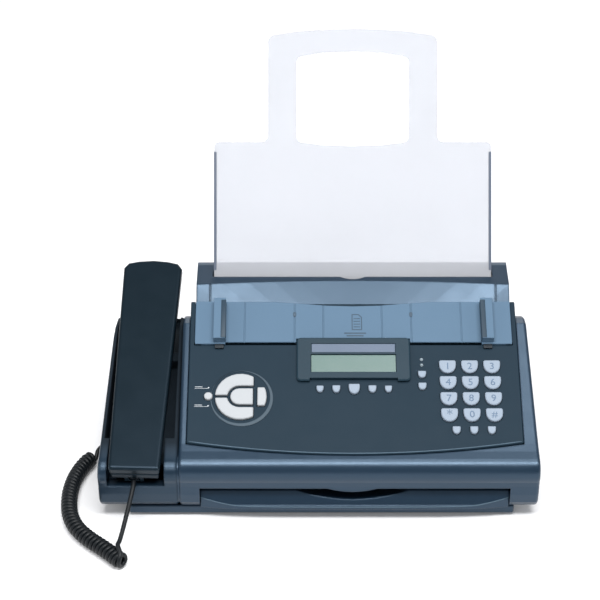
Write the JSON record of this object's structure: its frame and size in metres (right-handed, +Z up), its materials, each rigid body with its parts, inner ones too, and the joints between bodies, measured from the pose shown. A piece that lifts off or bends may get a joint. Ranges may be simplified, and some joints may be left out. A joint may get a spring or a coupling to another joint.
{
  "type": "fax machine",
  "caption": "Desktop fax machine with a corded handset, a sloping key panel with a display, paper guides and a clear upright paper support.",
  "frame": {"origin": "under the middle of the machine's bounding box, cord left out, on the surface that it stands on", "axes": "+X to the user's right, +Y towards the back, +Z up"},
  "size_m": [0.3822, 0.3401, 0.3042],
  "materials": {
    "slate_plastic": "fine grained",
    "blue_plastic": "satin",
    "bezel_plastic": "satin",
    "display": "clear window over a green display",
    "white_keys": "satin",
    "pale_keys": "satin",
    "handset_plastic": "satin",
    "clear_plastic": "clear acrylic",
    "rubber": "matt",
    "nylon": "natural nylon",
    "steel": "plated",
    "film": "film",
    "circuit_board": "lacquered",
    "plug_resin": "clear resin",
    "cord_jacket": "soft jacket"
  },
  "bodies": {
    "base": {"bottom_housing": "slate_plastic", "main_housing": "slate_plastic", "rear_housing": "slate_plastic", "handset_cradle": "slate_plastic", "exit_tray": "slate_plastic", "foot_front_left": "rubber", "foot_front_right": "rubber", "foot_rear_left": "rubber", "foot_rear_right": "rubber", "main_board": "circuit_board", "print_head": "steel", "drive_motor": "steel", "cord_lead": "cord_jacket", "cord_coil": "cord_jacket", "cord_tail": "cord_jacket", "base_plug": "plug_resin"},
    "panel": {"control_panel": "slate_plastic", "lcd_bezel": "bezel_plastic", "lcd_screen": "display", "document_ledge": "blue_plastic"},
    "guide_left": {"document_guide_left": "blue_plastic"},
    "guide_right": {"document_guide_right": "blue_plastic"},
    "guide_pinion": {"guide_pinion": "nylon"},
    "paper_support": {"paper_support": "clear_plastic"},
    "handset": {"handset_upper": "handset_plastic", "handset_lower": "handset_plastic", "handset_plug": "plug_resin"},
    "hook_switch": {"hook_switch": "nylon"},
    "platen": {"platen_roller": "rubber"},
    "motor_pinion": {"motor_pinion": "nylon"},
    "film_supply": {"film_supply_roll": "film"},
    "film_take_up": {"film_take_up_roll": "film"},
    "document_roller": {"document_roller": "rubber"},
    "key_1": {"key_1": "pale_keys"},
    "key_2": {"key_2": "pale_keys"},
    "key_3": {"key_3": "pale_keys"},
    "key_4": {"key_4": "pale_keys"},
    "key_5": {"key_5": "pale_keys"},
    "key_6": {"key_6": "pale_keys"},
    "key_7": {"key_7": "pale_keys"},
    "key_8": {"key_8": "pale_keys"},
    "key_9": {"key_9": "pale_keys"},
    "key_star": {"key_star": "pale_keys"},
    "key_0": {"key_0": "pale_keys"},
    "key_hash": {"key_hash": "pale_keys"},
    "option_key_1": {"option_key_1": "pale_keys"},
    "option_key_2": {"option_key_2": "pale_keys"},
    "option_key_3": {"option_key_3": "pale_keys"},
    "menu_key_1": {"menu_key_1": "pale_keys"},
    "menu_key_2": {"menu_key_2": "pale_keys"},
    "menu_key_3": {"menu_key_3": "pale_keys"},
    "menu_key_4": {"menu_key_4": "pale_keys"},
    "menu_key_5": {"menu_key_5": "pale_keys"},
    "side_key_1": {"side_key_1": "pale_keys"},
    "side_key_2": {"side_key_2": "pale_keys"},
    "copy_key": {"copy_key": "white_keys"},
    "start_key": {"start_key": "white_keys"},
    "stop_key": {"stop_key": "white_keys"},
    "hands_free_key": {"hands_free_key": "white_keys"},
    "mode_key": {"mode_key": "white_keys"}
  },
  "joints": [
    {"name": "panel_hinge", "type": "hinge", "parent": "base", "child": "panel", "pos_m": [0.02875, -0.00132, 0.12184], "axis": [-1, 0, 0], "range_deg": [0, 55]},
    {"name": "guide_left_slide", "type": "slide", "parent": "panel", "child": "guide_left", "axis": [1, 0, 0], "range_m": [0, 0.031]},
    {"name": "guide_right_slide", "type": "slide", "parent": "panel", "child": "guide_right", "axis": [-1, 0, 0], "range_m": [0, 0.031]},
    {"name": "guide_pinion_spin", "type": "hinge", "parent": "panel", "child": "guide_pinion", "pos_m": [0.02875, -0.02358, 0.10758], "axis": [0, -0.454, 0.891], "range_deg": [0, 446]},
    {"name": "paper_support_lift", "type": "slide", "parent": "base", "child": "paper_support", "axis": [0, 0.5299, 0.848], "range_m": [0, 0.06]},
    {"name": "handset_lift", "type": "slide", "parent": "base", "child": "handset", "axis": [0, 0, 1], "range_m": [0, 0.12]},
    {"name": "hook_switch_travel", "type": "slide", "parent": "base", "child": "hook_switch", "axis": [0, 0, 1], "range_m": [0, 0.003]},
    {"name": "platen_spin", "type": "hinge", "parent": "base", "child": "platen", "pos_m": [0.14275, -0.03401, 0.068], "axis": [1, 0, 0], "continuous": true},
    {"name": "motor_pinion_spin", "type": "hinge", "parent": "base", "child": "motor_pinion", "pos_m": [0.14275, -0.05853, 0.05327], "axis": [1, 0, 0], "continuous": true},
    {"name": "film_supply_spin", "type": "hinge", "parent": "base", "child": "film_supply", "pos_m": [0.00475, -0.07601, 0.053], "axis": [1, 0, 0], "continuous": true},
    {"name": "film_take_up_spin", "type": "hinge", "parent": "base", "child": "film_take_up", "pos_m": [0.00475, -0.10201, 0.047], "axis": [1, 0, 0], "continuous": true},
    {"name": "document_roller_spin", "type": "hinge", "parent": "base", "child": "document_roller", "pos_m": [0.02875, -0.02002, 0.093], "axis": [1, 0, 0], "continuous": true},
    {"name": "key_1_press", "type": "slide", "parent": "panel", "child": "key_1", "axis": [0, 0.454, -0.891], "range_m": [0, 0.0012], "stiffness_N_per_m": 400},
    {"name": "key_2_press", "type": "slide", "parent": "panel", "child": "key_2", "axis": [0, 0.454, -0.891], "range_m": [0, 0.0012], "stiffness_N_per_m": 400},
    {"name": "key_3_press", "type": "slide", "parent": "panel", "child": "key_3", "axis": [0, 0.454, -0.891], "range_m": [0, 0.0012], "stiffness_N_per_m": 400},
    {"name": "key_4_press", "type": "slide", "parent": "panel", "child": "key_4", "axis": [0, 0.454, -0.891], "range_m": [0, 0.0012], "stiffness_N_per_m": 400},
    {"name": "key_5_press", "type": "slide", "parent": "panel", "child": "key_5", "axis": [0, 0.454, -0.891], "range_m": [0, 0.0012], "stiffness_N_per_m": 400},
    {"name": "key_6_press", "type": "slide", "parent": "panel", "child": "key_6", "axis": [0, 0.454, -0.891], "range_m": [0, 0.0012], "stiffness_N_per_m": 400},
    {"name": "key_7_press", "type": "slide", "parent": "panel", "child": "key_7", "axis": [0, 0.454, -0.891], "range_m": [0, 0.0012], "stiffness_N_per_m": 400},
    {"name": "key_8_press", "type": "slide", "parent": "panel", "child": "key_8", "axis": [0, 0.454, -0.891], "range_m": [0, 0.0012], "stiffness_N_per_m": 400},
    {"name": "key_9_press", "type": "slide", "parent": "panel", "child": "key_9", "axis": [0, 0.454, -0.891], "range_m": [0, 0.0012], "stiffness_N_per_m": 400},
    {"name": "key_star_press", "type": "slide", "parent": "panel", "child": "key_star", "axis": [0, 0.454, -0.891], "range_m": [0, 0.0012], "stiffness_N_per_m": 400},
    {"name": "key_0_press", "type": "slide", "parent": "panel", "child": "key_0", "axis": [0, 0.454, -0.891], "range_m": [0, 0.0012], "stiffness_N_per_m": 400},
    {"name": "key_hash_press", "type": "slide", "parent": "panel", "child": "key_hash", "axis": [0, 0.454, -0.891], "range_m": [0, 0.0012], "stiffness_N_per_m": 400},
    {"name": "option_key_1_press", "type": "slide", "parent": "panel", "child": "option_key_1", "axis": [0, 0.454, -0.891], "range_m": [0, 0.0012], "stiffness_N_per_m": 400},
    {"name": "option_key_2_press", "type": "slide", "parent": "panel", "child": "option_key_2", "axis": [0, 0.454, -0.891], "range_m": [0, 0.0012], "stiffness_N_per_m": 400},
    {"name": "option_key_3_press", "type": "slide", "parent": "panel", "child": "option_key_3", "axis": [0, 0.454, -0.891], "range_m": [0, 0.0012], "stiffness_N_per_m": 400},
    {"name": "menu_key_1_press", "type": "slide", "parent": "panel", "child": "menu_key_1", "axis": [0, 0.454, -0.891], "range_m": [0, 0.0012], "stiffness_N_per_m": 400},
    {"name": "menu_key_2_press", "type": "slide", "parent": "panel", "child": "menu_key_2", "axis": [0, 0.454, -0.891], "range_m": [0, 0.0012], "stiffness_N_per_m": 400},
    {"name": "menu_key_3_press", "type": "slide", "parent": "panel", "child": "menu_key_3", "axis": [0, 0.454, -0.891], "range_m": [0, 0.0012], "stiffness_N_per_m": 400},
    {"name": "menu_key_4_press", "type": "slide", "parent": "panel", "child": "menu_key_4", "axis": [0, 0.454, -0.891], "range_m": [0, 0.0012], "stiffness_N_per_m": 400},
    {"name": "menu_key_5_press", "type": "slide", "parent": "panel", "child": "menu_key_5", "axis": [0, 0.454, -0.891], "range_m": [0, 0.0012], "stiffness_N_per_m": 400},
    {"name": "side_key_1_press", "type": "slide", "parent": "panel", "child": "side_key_1", "axis": [0, 0.454, -0.891], "range_m": [0, 0.0012], "stiffness_N_per_m": 400},
    {"name": "side_key_2_press", "type": "slide", "parent": "panel", "child": "side_key_2", "axis": [0, 0.454, -0.891], "range_m": [0, 0.0012], "stiffness_N_per_m": 400},
    {"name": "copy_key_press", "type": "slide", "parent": "panel", "child": "copy_key", "axis": [0, 0.454, -0.891], "range_m": [0, 0.0012], "stiffness_N_per_m": 400},
    {"name": "start_key_press", "type": "slide", "parent": "panel", "child": "start_key", "axis": [0, 0.454, -0.891], "range_m": [0, 0.0012], "stiffness_N_per_m": 400},
    {"name": "stop_key_press", "type": "slide", "parent": "panel", "child": "stop_key", "axis": [0, 0.454, -0.891], "range_m": [0, 0.0012], "stiffness_N_per_m": 400},
    {"name": "hands_free_key_press", "type": "slide", "parent": "panel", "child": "hands_free_key", "axis": [0, 0.454, -0.891], "range_m": [0, 0.0012], "stiffness_N_per_m": 400},
    {"name": "mode_key_press", "type": "slide", "parent": "panel", "child": "mode_key", "axis": [0, 0.454, -0.891], "range_m": [0, 0.0012], "stiffness_N_per_m": 400}
  ],
  "couplings": [
    {"joint": "hook_switch_travel", "follows": "handset_lift", "ratio": 0.025},
    {"joint": "guide_right_slide", "follows": "guide_left_slide", "ratio": 1},
    {"joint": "guide_pinion_spin", "follows": "guide_left_slide", "rad_per_m": 250},
    {"joint": "motor_pinion_spin", "follows": "platen_spin", "ratio": -3.6667}
  ]
}
